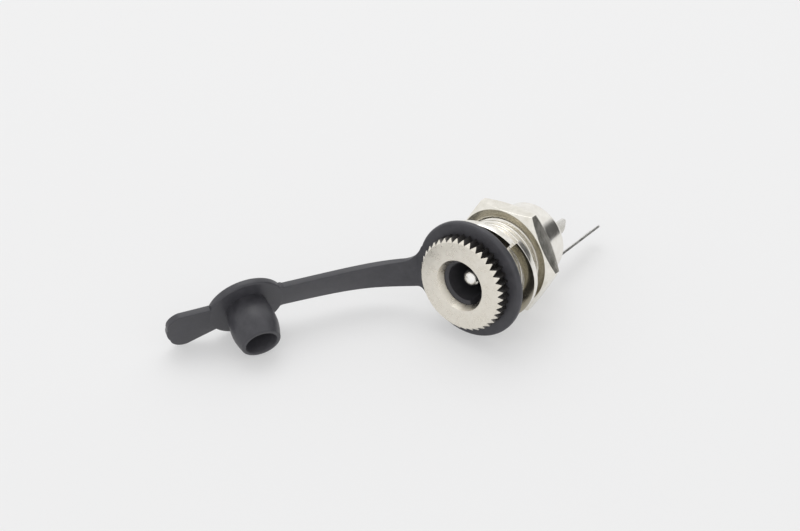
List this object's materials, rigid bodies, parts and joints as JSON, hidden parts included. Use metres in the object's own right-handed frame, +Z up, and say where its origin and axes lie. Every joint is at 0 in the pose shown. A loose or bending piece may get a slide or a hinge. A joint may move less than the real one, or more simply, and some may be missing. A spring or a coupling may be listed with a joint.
{
  "type": "dc barrel jack",
  "caption": "Panel-mount DC power socket with a knurled metal flange, threaded barrel, lock washer, hex nut, solder lugs and a tethered rubber dust cap.",
  "frame": {"origin": "on the socket's axis, in the plane where the rubber ring meets the panel", "axes": "+Y along the axis towards the solder lugs, +Z up, the dust cap's strap leaves towards -X"},
  "size_m": [0.0404, 0.058, 0.021],
  "materials": {
    "nickel": "satin nickel plate",
    "bright_nickel": "bright nickel plate",
    "tinned": "tin plate",
    "steel": "bright plated spring steel",
    "rubber": "satin",
    "bakelite": "satin"
  },
  "bodies": {
    "socket": {"shell": "nickel", "insulator": "bakelite", "centre_pin": "bright_nickel", "pin_lug": "tinned", "sleeve_contact": "tinned"},
    "cap": {"dust_cap": "rubber"},
    "washer": {"lock_washer": "steel"},
    "nut": {"hex_nut": "nickel"}
  },
  "joints": [
    {"name": "cap_swivel", "type": "hinge", "parent": "socket", "child": "cap", "pos_m": [0, 0, 0], "axis": [0, 1, 0], "continuous": true},
    {"name": "washer_slide", "type": "slide", "parent": "socket", "child": "washer", "axis": [0, 1, 0], "range_m": [-0.0004, 0.0015]},
    {"name": "nut_turn", "type": "hinge", "parent": "washer", "child": "nut", "pos_m": [0, 0.0084, 0], "axis": [0, 1, 0], "range_deg": [-144.5, 540.5]}
  ],
  "couplings": [
    {"joint": "nut_turn", "follows": "washer_slide", "rad_per_m": 6283.2}
  ]
}
